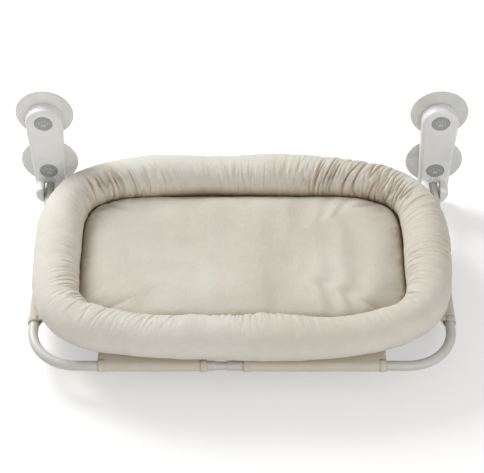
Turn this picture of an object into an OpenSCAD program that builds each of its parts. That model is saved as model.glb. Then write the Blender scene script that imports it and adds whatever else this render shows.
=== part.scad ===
// A cat's perch that hangs on a window: a padded bed on a bent tube frame, held by two brackets
// with two suction cups each. Sizes are in millimetres. The glass is the plane y = 0 and the perch
// stands out towards -y, with z up. The origin lies on the glass, midway between the brackets,
// at the height of the frame's tubes.

/* [Bed] */
// Width of the bed over its padded rim
bed_w = 560; // [520:5:590]
// Depth of the bed over its padded rim
bed_d = 363; // [340:1:370]
// Width of the padded rim
rim_w = 64; // [52:1:70]
// Height of the padded rim
rim_h = 58; // [46:1:66]
// Height of the floor pad at its middle
pad_h = 24; // [16:1:30]
// How far the rim reaches past the front tube
bed_overhang = 9; // [4:1:16]
// How far the bed reaches back past the ends of the frame's arms
bed_tuck = 14; // [8:1:16]
// Gap between the floor pad and the rim
pad_gap = 1.5; // [1:0.5:4]
// Thickness of the cloth base under the bed
base_t = 1.5; // [1:0.1:3]
// Length of the sleeve on each arm of the frame
side_sleeve_l = 190; // [120:5:210]
// How far the front and rear sleeves reach from the middle
sleeve_reach = 185; // [120:5:200]

/* [Frame] */
// Width of the tube frame, outside
frame_w = 560; // [540:5:620]
// Outer diameter of the tubes
tube_d = 13; // [12:0.5:14]
// Wall of the tubes
tube_wall = 1; // [0.8:0.1:1.4]
// Radius of the two front bends, to the middle of the tube
bend_r = 60; // [45:1:75]
// Length of the straight bar in the rear hem
bar_l = 480; // [430:5:484]
// Length of the neck that goes into the other half
neck_l = 44; // [36:1:60]
// Bare neck that shows at the frame's joint
frame_neck_bare = 14; // [6:1:18]
// Bare neck that shows at the bar's joint
bar_neck_bare = 9; // [4:1:14]
// Where the frame's neck starts, left of the middle
frame_neck_x = 33; // [24:1:40]
// Where the bar's socket ends, right of the middle
bar_socket_x = 11; // [6:1:20]

/* [Snap buttons] */
// Diameter of a snap button
button_d = 6.4; // [5.5:0.1:7]
// Height of a snap button above its tube
button_rise = 3; // [2:0.1:4]
// How far a snap button lies from the socket's mouth
button_in = 8.6; // [7:0.1:14]

/* [Brackets] */
// Width of a bracket at its top
bracket_w = 51; // [46:1:56]
// Width of a bracket at its foot
foot_w = 41.4; // [40:0.2:46]
// Gap between the glass and a bracket's back edge
bracket_stand = 5; // [4:0.5:7]
// Height of a bracket's top above the tubes
bracket_top = 142; // [136:1:150]
// Depth of a bracket's foot below the tubes
bracket_foot = 37; // [32:1:44]
// Wall of a bracket
bracket_wall = 2.8; // [2:0.1:3.2]
// Plastic between a cup's hub and its nut
boss_t = 2.2; // [1.8:0.1:3]
// Rounding of a bracket's front edge
bracket_edge = 5; // [3:0.5:6]
// Height of the lower cup above the tubes
cup_low = 31; // [29:1:34]
// Spacing of the two cups of a bracket
cup_pitch = 89; // [80:1:92]

/* [Hooks] */
// Side play of a tube in its hook
slot_play = 1.1; // [0.6:0.1:1.6]
// How far a hook reaches out from its bracket
hook_reach = 24; // [22:1:30]
// Wall of the hook in front of the tube
hook_lip = 6; // [4:0.5:8]
// Half width of a hook
hook_r = 19.2; // [17:0.1:20]
// Height of a hook's arms above the middle of the tube
hook_top = 15.5; // [13:0.5:18]
// Depth of a hook below the middle of the tube, at its front
hook_drop = 13; // [11:0.5:16]
// Depth of a hook below the middle of the tube, at its bracket
hook_root = 25; // [21:0.5:28]
// Distance of the fold's axis in front of the bracket
pivot_out = 8; // [7:0.5:10]
// Length of an arm's tail behind the fold's axis
tail_l = 12; // [11:0.5:13]

/* [Suction cups] */
// Diameter of a cup
cup_d = 80; // [70:1:86]
// Height of a cup, from the glass to the top of its hub
cup_h = 11; // [10:0.5:13]
// Diameter of a cup's hub
hub_d = 32; // [28:1:36]
// Diameter of a stud
stud_d = 8; // [7:0.1:8.4]
// Length of a stud above the hub
stud_l = 8.6; // [6:0.1:8.6]
// Width of a nut across its flats
nut_af = 13; // [12:0.1:13.4]
// Height of a nut
nut_h = 6; // [5.8:0.1:6.8]

/* [Cover caps] */
// Diameter of a cover cap
cap_d = 24.5; // [23:0.1:25]
// Thickness of a cover cap
cap_t = 2; // [1.4:0.1:2.4]
// How far a cover cap lies behind the bracket's face
cap_sink = 0.6; // [0.4:0.1:1]

/* [Hidden] */
$fn = 96;

// Colours, as the photograph shows them
white_plastic = [0.87, 0.87, 0.87];
grey_plastic = [0.63, 0.66, 0.65];
clear_vinyl = [0.80, 0.80, 0.78];
zinc = [0.70, 0.70, 0.70];
paint = [0.78, 0.78, 0.76];
plush = [0.88, 0.85, 0.78];

// Clearances: a piece on its seat, a shaft in its hole, and the overrun of a cut
seat = 0.3;
slip = 0.05;
over = 1;

// How finely the bracket's rounded ends are drawn, outside and inside
outer_sides = 64;
inner_sides = 32;

// The stack in front of the glass, as distances out from it
hub_seat = cup_h + seat;
nut_back = hub_seat + boss_t + seat;
cap_back = nut_back + nut_h + seat;
shell_front = cap_back + cap_t + cap_sink;
pivot = shell_front + pivot_out;
lip_front = shell_front + hook_reach;
lip_back = lip_front - hook_lip;

// The tube frame: it is as deep, from the ends of its arms to its front, as the bed asks
frame_d = bed_d - bed_overhang - bed_tuck;
tube_r = tube_d / 2;
bore_r = tube_r - tube_wall;
neck_r = bore_r - slip;
neck_bore_r = neck_r - tube_wall;
arm_x = frame_w / 2 - tube_r;
tail = pivot - tail_l;
front = tail + frame_d - tube_r;
bend_x = arm_x - bend_r;
bend_out = front - bend_r;
plug_flange = 1.5;
plug_shank = 12;
swage_l = 3;

// Places in x of the two joints, their buttons and their necks
frame_shoulder = -frame_neck_x;
frame_mouth = frame_shoulder + frame_neck_bare;
frame_button_x = frame_mouth + button_in;
bar_mouth = bar_socket_x;
bar_shoulder = bar_mouth + bar_neck_bare;
bar_button_x = bar_mouth - button_in - button_d;

// A snap button and its spring strip, measured from the tube's middle
button_play = 0.2;
button_foot = tube_r / 2;
button_dome = 1;
strip_t = 0.5;
strip_w = 5;
strip_low = button_foot + strip_t / 2;
strip_l = 21;

// The well of a cover cap, with the nut in a pocket of its floor
recess_r = cap_d / 2 + seat;
pocket_deep = 1.5;
floor_t = 2.5;
well_floor = hub_seat + boss_t + pocket_deep;
boss_wall = 1;
stud_play = 0.3;
nut_corner = nut_af / 2 / cos(30);
pocket_corner = nut_corner + seat / 2;
boss_r = pocket_corner + boss_wall;
slit_off = boss_r + boss_wall;
slit_w = 6.6;
slit_h = 2;
drain_w = 2.4;
rib_t = 2;
rib_back = well_floor - floor_t;
leg_play = 0.25;
leg_l = 8.2;
head_r = 9;
head_t = 2;
head_out = 4;
stud_tip = 0.8;

// The hook: its cavity lets the arm's tail swing down as the frame folds up
slot_r = tube_r + slot_play;
tail_sweep = norm([tail_l, tube_r]);
cavity_r = tail_sweep + seat + seat;
slot_floor = -tube_r - seat;
window_top = tube_r + seat;
window_floor = -sqrt(cavity_r * cavity_r - pivot_out * pivot_out);
window_round = 4.5;
hook_edge = 1.5;
hook_steps = 24;
slab = 0.5;
saddle_deep = 2;
core_side = 3;

// The bed stands on the cloth base
base_low = tube_r + seat;
base_top = base_low + base_t;
bed_low = base_top + seat;
bed_out = front + tube_r + bed_overhang - bed_d / 2;
base_inset = 22;
base_stations = 72;
sleeve_clear = 12;

// The bed's outline and its opening are squarish ovals; a higher power is squarer
outline_power = 3.2;
opening_power = 5.5;
rim_stations = 96;
rim_sides = 12;
rim_gathers = 16;
gather_share = 0.035;
pad_stations = 60;
// Shares of the pad's half width and of its height, from the middle of the top to the lower edge
pad_shares = [
    [0.25, 1.0], [0.55, 0.97], [0.78, 0.90], [0.92, 0.76], [0.985, 0.55], [1.0, 0.30], [0.975, 0.0]
];

// Shares of a cap's radius: place across, place up, and radius of a paw's pad and toes
paw_shares = [
    [0, -0.24, 0.27], [-0.20, -0.32, 0.17], [0.20, -0.32, 0.17],
    [-0.45, 0.06, 0.12], [-0.18, 0.32, 0.13], [0.18, 0.32, 0.13], [0.45, 0.06, 0.12]
];
paw_rise = 0.3;

// A cup's lip, its flat seal, the hollow inside the seal, and the foot and the crown of its hub
cup_lip_t = 1.2;
cup_land = 6;
cup_dish = 1.4;
hub_foot = 4.2;
dome_steps = 10;
dome_top_r = 9.5;

// Draws towards -y what is drawn upwards, at a place on the wall and a distance out from the glass
module on_wall(x, z, out) {
    translate([x, -out, z]) rotate([90, 0, 0]) children();
}

// A box by its lowest and highest corners in x, in distance out and in height
module block(x0, x1, out0, out1, z0, z1) {
    translate([x0, -out1, z0]) cube([x1 - x0, out1 - out0, z1 - z0]);
}

// A disc whose upper rim is rounded
module puck(r, deep, edge, sides) {
    steps = 6;
    rotate_extrude($fn = sides)
        polygon(concat(
            [[0, 0], [r, 0]],
            [for (i = [0:steps]) let (a = 90 * i / steps)
                [r - edge + edge * cos(a), deep - edge + edge * sin(a)]],
            [[0, deep]]));
}

// The bracket's outline as a solid, drawn in by an inset
module bracket_form(inset, out0, out1, edge, sides) {
    hull() {
        on_wall(0, bracket_top - bracket_w / 2, out0)
            puck(bracket_w / 2 - inset, out1 - out0, edge, sides);
        on_wall(0, foot_w / 2 - bracket_foot, out0)
            puck(foot_w / 2 - inset, out1 - out0, edge, sides);
    }
}

// One slice of the hook's outline: a round foot under straight sides
module hook_slice(out, inset, foot) {
    r = hook_r - inset;
    on_wall(0, 0, out) linear_extrude(slab)
        polygon(concat(
            [for (i = [0:hook_steps]) let (a = 180 + 180 * i / hook_steps)
                [r * cos(a), foot + hook_r + r * sin(a)]],
            [[r, hook_top - inset], [-r, hook_top - inset]]));
}

module hook_form() {
    hull() {
        hook_slice(lip_front - slab, hook_edge, -hook_drop);
        hook_slice(lip_front - hook_edge - slab, 0, -hook_drop);
        hook_slice(shell_front - bracket_wall, 0, -hook_root);
    }
}

module hook_cuts() {
    // The slot in the lip, open at the top, with a round floor that carries the tube
    on_wall(0, slot_floor + slot_r, lip_back - over) linear_extrude(hook_lip + 2 * over) {
        circle(r = slot_r);
        translate([-slot_r, 0]) square([2 * slot_r, hook_top + slot_r]);
    }
    // The space between the lip and the bracket's face
    block(-slot_r, slot_r, shell_front, lip_back, 0, hook_top + over);
    intersection() {
        translate([0, -pivot, 0]) rotate([0, 90, 0]) cylinder(r = cavity_r, h = 2 * slot_r, center = true);
        block(-slot_r, slot_r, shell_front, lip_back, -cavity_r, over);
    }
    // The window in the face, straight at the top and with rounded corners at its foot
    on_wall(0, 0, shell_front - bracket_wall - over) linear_extrude(bracket_wall + 2 * over) {
        for (side = [-1, 1])
            translate([side * (slot_r - window_round), window_floor + window_round])
                circle(r = window_round);
        translate([window_round - slot_r, window_floor])
            square([2 * (slot_r - window_round), window_top - window_floor]);
        translate([-slot_r, window_floor + window_round])
            square([2 * slot_r, window_top - window_floor - window_round]);
    }
    // The hollow saddle above the window
    translate([0, -shell_front - slot_r + saddle_deep, window_top - over])
        cylinder(r = slot_r, h = hook_top);
    // The arms are cored out from behind, above the hook's round foot
    for (side = [-1, 1]) scale([side, 1, 1])
        block(slot_r + core_side, hook_r - core_side, shell_front - bracket_wall - over,
            lip_front - core_side, 0, hook_top - core_side);
}

module well_form(z) {
    on_wall(0, z, rib_back)
        cylinder(r = recess_r + bracket_wall, h = shell_front - rib_back - seat);
    on_wall(0, z, hub_seat) cylinder(r = boss_r, h = well_floor - hub_seat);
}

module well_cuts(z) {
    on_wall(0, z, well_floor) cylinder(r = recess_r, h = shell_front - well_floor + over);
    on_wall(0, z, hub_seat - over) cylinder(r = stud_d / 2 + stud_play, h = shell_front);
    on_wall(0, z, well_floor - pocket_deep)
        cylinder(r = pocket_corner, h = pocket_deep + over, $fn = 6);
    for (side = [-1, 1])
        block(-slit_w / 2, slit_w / 2, rib_back - over, well_floor + over,
            z + side * slit_off - slit_h / 2, z + side * slit_off + slit_h / 2);
    translate([0, 0, z]) rotate([0, 45, 0])
        block(slit_off - slit_h / 2, slit_off + slit_h / 2, rib_back - over, well_floor + over,
            -drain_w / 2, drain_w / 2);
}

module bracket(side) {
    cup_high = cup_low + cup_pitch;
    color(white_plastic) translate([side * arm_x, 0, 0]) difference() {
        union() {
            difference() {
                bracket_form(0, bracket_stand, shell_front, bracket_edge, outer_sides);
                bracket_form(bracket_wall, bracket_stand - over, shell_front - bracket_wall,
                    bracket_edge - bracket_wall, inner_sides);
            }
            intersection() {
                bracket_form(bracket_wall / 2, rib_back, shell_front - bracket_wall / 2,
                    bracket_edge - bracket_wall, inner_sides);
                union() {
                    for (z = [cup_low, cup_low + cup_pitch / 2, cup_high])
                        block(-bracket_w, bracket_w, rib_back, shell_front,
                            z - rib_t / 2, z + rib_t / 2);
                    block(-rib_t / 2, rib_t / 2, rib_back, shell_front,
                        cup_low + slit_off + slit_w / 2, cup_high - slit_off - slit_w / 2);
                    block(-slot_r - core_side, slot_r + core_side,
                        shell_front - bracket_wall - saddle_deep, shell_front, window_top, hook_top);
                }
            }
            hook_form();
            for (z = [cup_low, cup_high]) well_form(z);
        }
        hook_cuts();
        for (z = [cup_low, cup_high]) well_cuts(z);
    }
}

// Puts a piece of the left or right bracket at its upper or lower cup
module at_cup(side, level) {
    translate([side * arm_x, 0, cup_low + level * cup_pitch]) children();
}

module suction_cup() {
    cup_r = cup_d / 2;
    hub_r = hub_d / 2;
    color(clear_vinyl) difference() {
        on_wall(0, 0, 0) rotate_extrude()
            polygon(concat(
                [[0, cup_dish], [cup_r - cup_land, 0], [cup_r, 0], [cup_r, cup_lip_t],
                 [hub_r, hub_foot]],
                [for (i = [0:dome_steps]) let (a = 90 * i / dome_steps)
                    [dome_top_r + (hub_r - dome_top_r) * cos(a),
                     hub_foot + (cup_h - hub_foot) * sin(a)]],
                [[0, cup_h]]));
        on_wall(0, 0, head_out - slip) cylinder(r = head_r + slip, h = head_t + 2 * slip);
        on_wall(0, 0, head_out) cylinder(r = stud_d / 2 + slip, h = cup_h);
    }
}

module cup_stud() {
    color(zinc) {
        on_wall(0, 0, head_out) cylinder(r = head_r, h = head_t);
        on_wall(0, 0, head_out) cylinder(r = stud_d / 2, h = cup_h + stud_l - stud_tip - head_out);
        on_wall(0, 0, cup_h + stud_l - stud_tip)
            cylinder(r1 = stud_d / 2, r2 = stud_d / 2 - stud_tip, h = stud_tip);
    }
}

module hex_nut() {
    color(zinc) on_wall(0, 0, nut_back) difference() {
        cylinder(r = nut_corner, h = nut_h, $fn = 6);
        translate([0, 0, -over]) cylinder(r = stud_d / 2 + slip, h = nut_h + 2 * over);
    }
}

module cover_cap() {
    cap_r = cap_d / 2;
    face = shell_front - cap_sink;
    edge = cap_t / 3;
    color(grey_plastic) {
        on_wall(0, 0, face - cap_t) cylinder(r = cap_r, h = cap_t - edge);
        on_wall(0, 0, face - edge) cylinder(r1 = cap_r, r2 = cap_r - edge, h = edge);
        for (p = paw_shares)
            on_wall(p[0] * cap_r, p[1] * cap_r, face - edge)
                cylinder(r = p[2] * cap_r, h = edge + paw_rise);
        for (side = [-1, 1])
            block(leg_play - slit_w / 2, slit_w / 2 - leg_play, face - cap_t - leg_l, face - cap_t + edge,
                side * slit_off - slit_h / 2 + leg_play, side * slit_off + slit_h / 2 - leg_play);
    }
}

// A straight tube along x from its plain end to its socket's mouth or, with a neck, to the neck's end
module socket_tube(from, to) {
    translate([from, 0, 0]) rotate([0, 90, 0]) difference() {
        cylinder(r = tube_r, h = to - from);
        translate([0, 0, -over]) cylinder(r = bore_r, h = to - from + 2 * over);
    }
}

module neck_tube(l) {
    rotate([0, 90, 0]) rotate_extrude()
        polygon([
            [bore_r, 0], [tube_r, 0], [tube_r, l - swage_l], [neck_r, l], [neck_r, l + neck_l],
            [neck_bore_r, l + neck_l], [neck_bore_r, l], [bore_r, l - swage_l]
        ]);
}

// The arm and the bend of one half of the frame
module arm_and_bend(side) {
    translate([side * arm_x, -tail - plug_flange, 0]) rotate([90, 0, 0]) difference() {
        cylinder(r = tube_r, h = bend_out - tail - plug_flange);
        translate([0, 0, -over]) cylinder(r = bore_r, h = bend_out - tail + over);
    }
    translate([side * bend_x, -bend_out, 0])
        rotate([0, 0, side > 0 ? -90 : 180]) rotate_extrude(angle = 90)
            translate([bend_r, 0]) difference() {
                circle(r = tube_r);
                circle(r = bore_r);
            }
}

module frame_button_hole() {
    translate([frame_button_x, -front, 0]) rotate([-90, 0, 0])
        cylinder(d = button_d + 2 * button_play, h = tube_d);
}

module bar_button_hole() {
    translate([bar_button_x, -pivot, -tube_d]) cylinder(d = button_d + 2 * button_play, h = tube_d);
}

module frame_tube_left() {
    color(paint) difference() {
        union() {
            arm_and_bend(-1);
            translate([-bend_x, -front, 0]) neck_tube(bend_x + frame_shoulder);
        }
        frame_button_hole();
    }
}

module frame_tube_right() {
    color(paint) difference() {
        union() {
            arm_and_bend(1);
            translate([0, -front, 0]) socket_tube(frame_mouth, bend_x);
        }
        frame_button_hole();
    }
}

module rear_bar_left() {
    color(paint) difference() {
        translate([0, -pivot, 0]) socket_tube(plug_flange - bar_l / 2, bar_mouth);
        bar_button_hole();
    }
}

module rear_bar_right() {
    color(paint) difference() {
        translate([bar_l / 2 - plug_flange, -pivot, 0]) rotate([0, 0, 180])
            neck_tube(bar_l / 2 - plug_flange - bar_shoulder);
        bar_button_hole();
    }
}

// A push-in plug: its shank goes up into a tube that starts at z = 0
module end_plug() {
    color(grey_plastic) {
        translate([0, 0, -plug_flange]) cylinder(r = tube_r, h = plug_flange);
        difference() {
            cylinder(r = bore_r - slip, h = plug_shank);
            translate([0, 0, plug_flange]) cylinder(r = bore_r - tube_wall, h = plug_shank);
        }
    }
}

module frame_end_plug(side) {
    translate([side * arm_x, -tail - plug_flange, 0]) rotate([90, 0, 0]) end_plug();
}

module bar_end_plug(side) {
    translate([side * (bar_l / 2 - plug_flange), -pivot, 0]) rotate([0, -side * 90, 0]) end_plug();
}

// A snap button standing up from its spring strip, about the tube's middle
module snap_button() {
    color(zinc) {
        translate([0, 0, button_foot])
            cylinder(d = button_d, h = tube_r + button_rise - button_dome - button_foot);
        translate([0, 0, tube_r + button_rise - button_dome])
            cylinder(r1 = button_d / 2, r2 = button_d / 2 - button_dome, h = button_dome);
    }
}

// A strip of spring steel bent double, its bend at the far end
module button_spring() {
    top = button_foot - slip;
    half = button_d / 2;
    color(zinc) translate([0, strip_w / 2, 0]) rotate([90, 0, 0]) linear_extrude(strip_w)
        polygon([
            [-half, top], [strip_l - strip_t, top], [strip_l, top - strip_t],
            [strip_l, strip_t - strip_low], [strip_l - strip_t, -strip_low], [-half, -strip_low],
            [-half, strip_t - strip_low], [strip_l - 2 * strip_t, strip_t - strip_low],
            [strip_l - strip_t, 2 * strip_t - strip_low], [strip_l - strip_t, top - 2 * strip_t],
            [strip_l - 2 * strip_t, top - strip_t], [-half, top - strip_t]
        ]);
}

// The front button faces the window, and its spring lies in the neck; the rear button faces down
module at_front_button() {
    translate([frame_button_x, -front, 0]) rotate([-90, 0, 0]) children();
}

module at_rear_button() {
    translate([bar_button_x, -pivot, 0]) rotate([180, 0, 0]) children();
}

// A sleeve of the cloth base round a tube, from z = 0 up
module sleeve(l) {
    difference() {
        cylinder(r = base_top, h = l);
        translate([0, 0, -over]) cylinder(r = base_low, h = l + 2 * over);
    }
}

// A pair of sleeves along x at a distance out, with a gap between them, and their cloth
module sleeve_pair(out, gap_low, gap_high) {
    for (span = [[-sleeve_reach, gap_low], [gap_high, sleeve_reach]]) {
        translate([span[0], -out, 0]) rotate([0, 90, 0]) sleeve(span[1] - span[0]);
        block(span[0], span[1], min(out, bed_out), max(out, bed_out), base_low, base_top);
    }
}

module bed_base_sheet() {
    a = bed_w / 2 - base_inset;
    b = bed_d / 2 - base_inset;
    sleeve_out = bed_out - side_sleeve_l / 2;
    color(plush) {
        translate([0, -bed_out, base_low]) linear_extrude(base_t)
            polygon([for (i = [0:base_stations - 1])
                oval_point(a, b, 360 * i / base_stations, outline_power)]);
        for (side = [-1, 1])
            translate([side * arm_x, -sleeve_out, 0]) rotate([90, 0, 0]) sleeve(side_sleeve_l);
        block(-arm_x, arm_x, sleeve_out, sleeve_out + side_sleeve_l, base_low, base_top);
        sleeve_pair(front, frame_shoulder - sleeve_clear, frame_button_x + sleeve_clear);
        sleeve_pair(pivot, bar_button_x - sleeve_clear, bar_shoulder + sleeve_clear);
    }
}

// A point of the squarish oval with the given half sizes and power
function oval_point(a, b, t, power) =
    let (k = pow(pow(abs(cos(t)), power) + pow(abs(sin(t)), power), -1 / power))
    [a * cos(t) * k, b * sin(t) * k];

// Joins rings of points, each of n points, into the faces of a closed solid or of a closed loop
function ring_faces(rings, n, closed) = [
    for (i = [0:rings - (closed ? 1 : 2)], k = [0:n - 1], half = [0, 1])
        let (j = (i + 1) % rings, m = (k + 1) % n)
        half == 0 ? [i * n + k, i * n + m, j * n + m] : [i * n + k, j * n + m, j * n + k]
];

// One section of the rim, from the outline to the opening: round, and drawn in at each gather
function rim_ring(i) =
    let (
        t = 360 * i / rim_stations,
        outer = oval_point(bed_w / 2, bed_d / 2, t, outline_power),
        inner = oval_point(bed_w / 2 - rim_w, bed_d / 2 - rim_w, t, opening_power),
        full = 1 - gather_share * (1 - cos(rim_gathers * t)) / 2,
        mid = (outer + inner) / 2,
        turn = 180 / rim_sides
    )
    [for (k = [0:rim_sides - 1])
        let (
            a = turn + 360 * k / rim_sides,
            up = rim_h / 2 * (1 + sin(a) / cos(turn) * (sin(a) > 0 ? full : 1)),
            p = mid + (outer - inner) / 2 * cos(a) / cos(turn) * full
        )
        [p[0], p[1] - bed_out, bed_low + up]];

module bed_rim() {
    points = [for (i = [0:rim_stations - 1]) each rim_ring(i)];
    color(plush) polyhedron(points, ring_faces(rim_stations, rim_sides, true));
}

module bed_floor_pad() {
    a = bed_w / 2 - rim_w - pad_gap;
    b = bed_d / 2 - rim_w - pad_gap;
    rings = len(pad_shares);
    points = concat(
        [for (s = pad_shares, i = [0:pad_stations - 1])
            let (p = oval_point(a, b, 360 * i / pad_stations, opening_power))
            [p[0] * s[0], p[1] * s[0] - bed_out, bed_low + pad_h * s[1]]],
        [[0, -bed_out, bed_low + pad_h], [0, -bed_out, bed_low]]);
    top = rings * pad_stations;
    last = top - pad_stations;
    color(plush) polyhedron(points, concat(
        ring_faces(rings, pad_stations, false),
        [for (k = [0:pad_stations - 1]) [(k + 1) % pad_stations, k, top]],
        [for (k = [0:pad_stations - 1]) [last + k, last + (k + 1) % pad_stations, top + 1]]));
}

bracket(-1);  // bracket_left
bracket(1);  // bracket_right
at_cup(-1, 1) suction_cup();  // suction_cup_left_upper
at_cup(-1, 0) suction_cup();  // suction_cup_left_lower
at_cup(1, 1) suction_cup();  // suction_cup_right_upper
at_cup(1, 0) suction_cup();  // suction_cup_right_lower
at_cup(-1, 1) cup_stud();  // cup_stud_left_upper
at_cup(-1, 0) cup_stud();  // cup_stud_left_lower
at_cup(1, 1) cup_stud();  // cup_stud_right_upper
at_cup(1, 0) cup_stud();  // cup_stud_right_lower
at_cup(-1, 1) hex_nut();  // hex_nut_left_upper
at_cup(-1, 0) hex_nut();  // hex_nut_left_lower
at_cup(1, 1) hex_nut();  // hex_nut_right_upper
at_cup(1, 0) hex_nut();  // hex_nut_right_lower
at_cup(-1, 1) cover_cap();  // cover_cap_left_upper
at_cup(-1, 0) cover_cap();  // cover_cap_left_lower
at_cup(1, 1) cover_cap();  // cover_cap_right_upper
at_cup(1, 0) cover_cap();  // cover_cap_right_lower
frame_tube_left();
frame_tube_right();
frame_end_plug(-1);  // frame_end_plug_left
frame_end_plug(1);  // frame_end_plug_right
rear_bar_left();
rear_bar_right();
bar_end_plug(-1);  // bar_end_plug_left
bar_end_plug(1);  // bar_end_plug_right
at_front_button() snap_button();  // front_snap_button
at_front_button() button_spring();  // front_button_spring
at_rear_button() snap_button();  // rear_snap_button
at_rear_button() button_spring();  // rear_button_spring
bed_base_sheet();
bed_floor_pad();
bed_rim();
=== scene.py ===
import math

import bmesh
import bpy
import numpy as np
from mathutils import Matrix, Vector


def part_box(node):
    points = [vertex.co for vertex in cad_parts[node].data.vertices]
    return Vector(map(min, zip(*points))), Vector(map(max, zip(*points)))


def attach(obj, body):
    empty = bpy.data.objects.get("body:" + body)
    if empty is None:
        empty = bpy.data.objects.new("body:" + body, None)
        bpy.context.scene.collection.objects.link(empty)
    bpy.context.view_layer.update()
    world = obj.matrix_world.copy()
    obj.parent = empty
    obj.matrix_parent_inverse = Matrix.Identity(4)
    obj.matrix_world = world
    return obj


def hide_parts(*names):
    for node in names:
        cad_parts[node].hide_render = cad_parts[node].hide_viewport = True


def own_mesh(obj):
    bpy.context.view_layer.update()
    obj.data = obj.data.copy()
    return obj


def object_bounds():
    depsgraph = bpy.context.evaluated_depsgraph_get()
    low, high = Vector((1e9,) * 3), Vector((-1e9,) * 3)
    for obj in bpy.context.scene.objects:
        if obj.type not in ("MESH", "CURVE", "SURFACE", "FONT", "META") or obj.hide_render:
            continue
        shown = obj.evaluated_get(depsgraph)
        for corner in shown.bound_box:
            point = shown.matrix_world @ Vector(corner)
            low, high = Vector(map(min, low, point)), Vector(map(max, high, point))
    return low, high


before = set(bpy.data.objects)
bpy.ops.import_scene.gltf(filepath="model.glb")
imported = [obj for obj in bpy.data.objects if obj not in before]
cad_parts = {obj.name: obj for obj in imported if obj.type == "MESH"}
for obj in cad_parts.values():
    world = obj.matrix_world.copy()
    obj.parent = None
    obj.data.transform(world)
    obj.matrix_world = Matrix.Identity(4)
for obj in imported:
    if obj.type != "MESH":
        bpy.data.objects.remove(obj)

cad_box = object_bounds()


# Suction cups
# Each is one moulding of clear soft vinyl round the head of a stud: a wide thin disc that grips
# the glass and a domed hub. The hub stands against the back of the bracket.
SIDES, LEVELS = ("left", "right"), ("lower", "upper")
cup_sides, cup_edge, cup_seal = 144, 0.0012, 0.0060
hub_radius, hub_top_radius, dome_foot, hub_mouth = 0.0160, 0.0095, 0.0054, 0.0005
stud_radius, stud_play = 0.0040, 0.0001
head_radius, head_back, head_front = 0.0090, 0.0040, 0.0060
hub_tint_low, hub_tint_high = 0.0048, 0.0078
# Profiles, as (radius, distance from the glass): the disc's hollow back from its middle out, its
# front from its edge in, and the fillet round the hub
disc_back = [(0, 0.0014), (0.012, 0.0013), (0.024, 0.0009), (0.031, 0.0003)]
disc_front = [(0.0385, 0.00122), (0.0340, 0.0015), (0.0280, 0.0020), (0.0225, 0.0028)]
hub_fillet = [(0.0190, 0.0037), (0.0172, 0.0043), (0.0163, 0.0050)]


def tone(red, green, blue):
    """A colour written as it looks, from 0 to 255, as the linear values that shaders take."""
    return tuple(((c / 255 + 0.055) / 1.055) ** 2.4 for c in (red, green, blue))


class Wire:
    """One output in the nodes of a finish. Sums of wires add the nodes that work them out."""

    def __init__(self, tree, socket=None):
        self.tree, self.socket = tree, socket

    def node(self, kind, settings, inputs, out):
        """Adds a node: its settings first, then the values or wires of its sockets."""
        made = self.tree.nodes.new("ShaderNode" + kind)
        for key, value in settings.items():
            setattr(made, key, value)
        self.feed(made, inputs)
        return Wire(self.tree, next(s for s in made.outputs if out in (s.identifier, s.name)))

    def along(self, axis):
        """One coordinate of a vector."""
        return self.node("SeparateXYZ", {}, {"Vector": self}, axis)

    def feed(self, made, inputs):
        for key, value in inputs.items():
            socket = next(s for s in made.inputs if key in (s.identifier, s.name))
            if isinstance(value, Wire):
                self.tree.links.new(value.socket, socket)
            elif socket.type == "RGBA":
                socket.default_value = (*value, 1)
            else:
                socket.default_value = value

    def work(self, how, *terms):
        """Arithmetic: on numbers through Math, and on vectors and colours through Vector Math."""
        vector = any(isinstance(t, Wire) and t.socket.type != "VALUE" for t in terms)
        keys = ("Vector", "Vector_001") if vector else ("Value", "Value_001")
        inputs = {
            key: (t,) * 3 if vector and not isinstance(t, Wire) else t
            for key, t in zip(keys, terms)
        }
        return self.node("VectorMath" if vector else "Math", {"operation": how}, inputs, keys[0])

    def __add__(self, other):
        return self.work("ADD", self, other)

    def __rsub__(self, other):
        return self.work("SUBTRACT", other, self)

    def __mul__(self, other):
        return self.work("MULTIPLY", self, other)

    __radd__, __rmul__ = __add__, __mul__

    def noise(self, scale, detail=2, rough=0.5, bend=0):
        """Cloudy noise at these places, of about scale clouds to the metre."""
        inputs = {
            "Vector": self, "Scale": scale, "Detail": detail, "Roughness": rough, "Distortion": bend
        }
        return self.node("TexNoise", {}, inputs, "Fac")

    def between(self, low=0.3, high=0.7):
        """0 below low, 1 above high, and smooth between them. Noise mostly fills 0.3 to 0.7."""
        inputs = {"Value": self, "From Min": low, "From Max": high}
        return self.node("MapRange", {"interpolation_type": "SMOOTHSTEP"}, inputs, "Result")

    def mix(self, first, second):
        """The first colour where this wire is 0 and the second where it is 1."""
        inputs = {"Factor_Float": self, "A_Color": first, "B_Color": second}
        return self.node("Mix", {"data_type": "RGBA"}, inputs, "Result_Color")

    def relief(self, depth, under=None):
        """The normal of a surface whose height is this wire times depth, in metres."""
        inputs = {"Height": self, "Distance": depth}
        if under is not None:
            inputs["Normal"] = under
        return self.node("Bump", {}, inputs, "Normal")


def finish(name):
    """A new material, and the places of its surface in metres, as a wire."""
    material = bpy.data.materials.new(name)
    material.use_nodes = True
    return material, Wire(material.node_tree).node("TexCoord", {}, {}, "Object")


def coat(material, place, **inputs):
    """Gives a material's shader its values. An underscore stands for a space in a socket's name."""
    shader = material.node_tree.nodes["Principled BSDF"]
    place.feed(shader, {key.replace("_", " "): value for key, value in inputs.items()})


def put(name, data):
    """A new object in the scene."""
    thing = bpy.data.objects.new(name, data)
    bpy.context.scene.collection.objects.link(thing)
    return thing


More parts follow.
